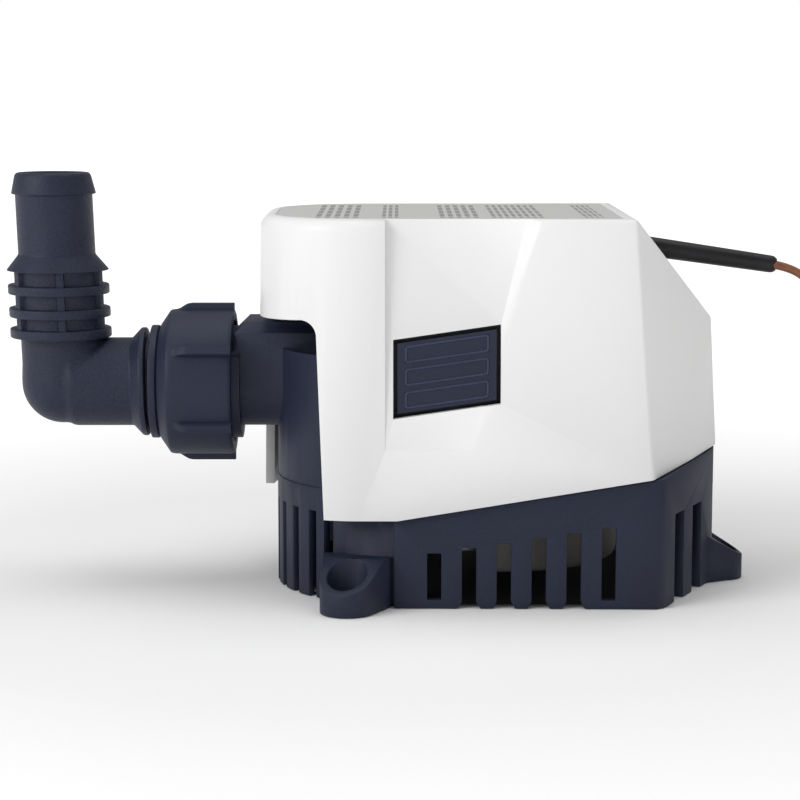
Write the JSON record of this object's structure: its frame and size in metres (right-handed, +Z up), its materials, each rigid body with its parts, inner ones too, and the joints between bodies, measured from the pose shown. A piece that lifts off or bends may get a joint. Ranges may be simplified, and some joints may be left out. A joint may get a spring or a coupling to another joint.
{
  "type": "bilge pump",
  "caption": "Submersible automatic bilge pump: slotted strainer base with screw ears, clip-on pump unit in a white shell, float switch inside, swivel hose elbow and two-wire lead.",
  "frame": {"origin": "midway between the two side screw holes, on the floor that the base stands on", "axes": "+Z up; the outlet and hose elbow point along -X; the nose of the base and the lead are at +X; the button called front is on the -Y side"},
  "size_m": [0.2671, 0.097, 0.1016],
  "materials": {
    "navy_plastic": "fine moulded texture",
    "white_shell": "satin white",
    "label_grey": "printed film",
    "seal_rubber": "black",
    "sleeve_black": "semi-gloss",
    "stainless": "bright",
    "can_steel": "plated",
    "sintered_bronze": "oiled",
    "terminal_brass": "bright",
    "ferrite": "dark grey",
    "black_plastic": "black",
    "carbon": "graphite",
    "core_steel": "stacked sheet",
    "copper": "lacquered copper",
    "natural_plastic": "natural",
    "float_grey": "mid grey",
    "glass_capsule": "glass-like",
    "board_green": "circuit board",
    "wire_brown": "insulation"
  },
  "bodies": {
    "pump": {"strainer_base": "navy_plastic", "pump_body": "navy_plastic", "top_shell": "white_shell", "top_label": "label_grey", "motor_cover": "navy_plastic", "cover_o_ring": "seal_rubber", "cover_screws": "stainless", "deck_screws": "stainless", "intake_plate": "black_plastic", "shaft_seal": "seal_rubber", "lower_bearing": "sintered_bronze", "upper_bearing": "sintered_bronze", "motor_can": "can_steel", "magnets": "ferrite", "motor_end_cap": "black_plastic", "brushes": "carbon", "brush_springs": "stainless", "motor_terminals": "terminal_brass", "float_frame": "navy_plastic", "frame_screws": "stainless", "float_pin": "stainless", "reed_switch": "glass_capsule", "switch_board": "board_green", "power_switch": "black_plastic", "inner_wires": "wire_brown", "wire_grommet": "seal_rubber", "spring_front": "stainless", "spring_back": "stainless", "port_gasket": "seal_rubber", "slip_ring": "natural_plastic", "lead_gland": "seal_rubber", "lead_sleeve": "sleeve_black", "lead_tube": "wire_brown", "lead_coil": "wire_brown"},
    "rotor": {"motor_shaft": "stainless", "armature_core": "core_steel", "windings": "copper", "commutator": "copper", "impeller": "natural_plastic", "impeller_clip": "stainless"},
    "float": {"float_body": "float_grey", "float_cap": "float_grey", "float_magnet": "ferrite"},
    "front_button": {"button_front": "navy_plastic"},
    "back_button": {"button_back": "navy_plastic"},
    "nut": {"union_nut": "navy_plastic"},
    "hose_elbow": {"elbow": "navy_plastic"}
  },
  "joints": [
    {"name": "rotor_spin", "type": "hinge", "parent": "pump", "child": "rotor", "pos_m": [0.0124, 0, 0.02], "axis": [0, 0, 1], "continuous": true},
    {"name": "float_tilt", "type": "hinge", "parent": "pump", "child": "float", "pos_m": [0.0375, 0, 0.033], "axis": [0, -1, 0], "range_deg": [0, 25]},
    {"name": "button_front_press", "type": "slide", "parent": "pump", "child": "front_button", "axis": [0, 1, 0], "range_m": [0, 0.0025], "stiffness_N_per_m": 300, "springref_m": -0.002, "deforming": ["spring_front"]},
    {"name": "button_back_press", "type": "slide", "parent": "pump", "child": "back_button", "axis": [0, -1, 0], "range_m": [0, 0.0025], "stiffness_N_per_m": 300, "springref_m": -0.002, "deforming": ["spring_back"]},
    {"name": "nut_turn", "type": "hinge", "parent": "pump", "child": "nut", "pos_m": [-0.037, 0, 0.0495], "axis": [-1, 0, 0], "range_deg": [0, 540]},
    {"name": "elbow_swivel", "type": "hinge", "parent": "pump", "child": "hose_elbow", "pos_m": [-0.0715, 0, 0.0495], "axis": [1, 0, 0], "range_deg": [-135, 135]}
  ]
}
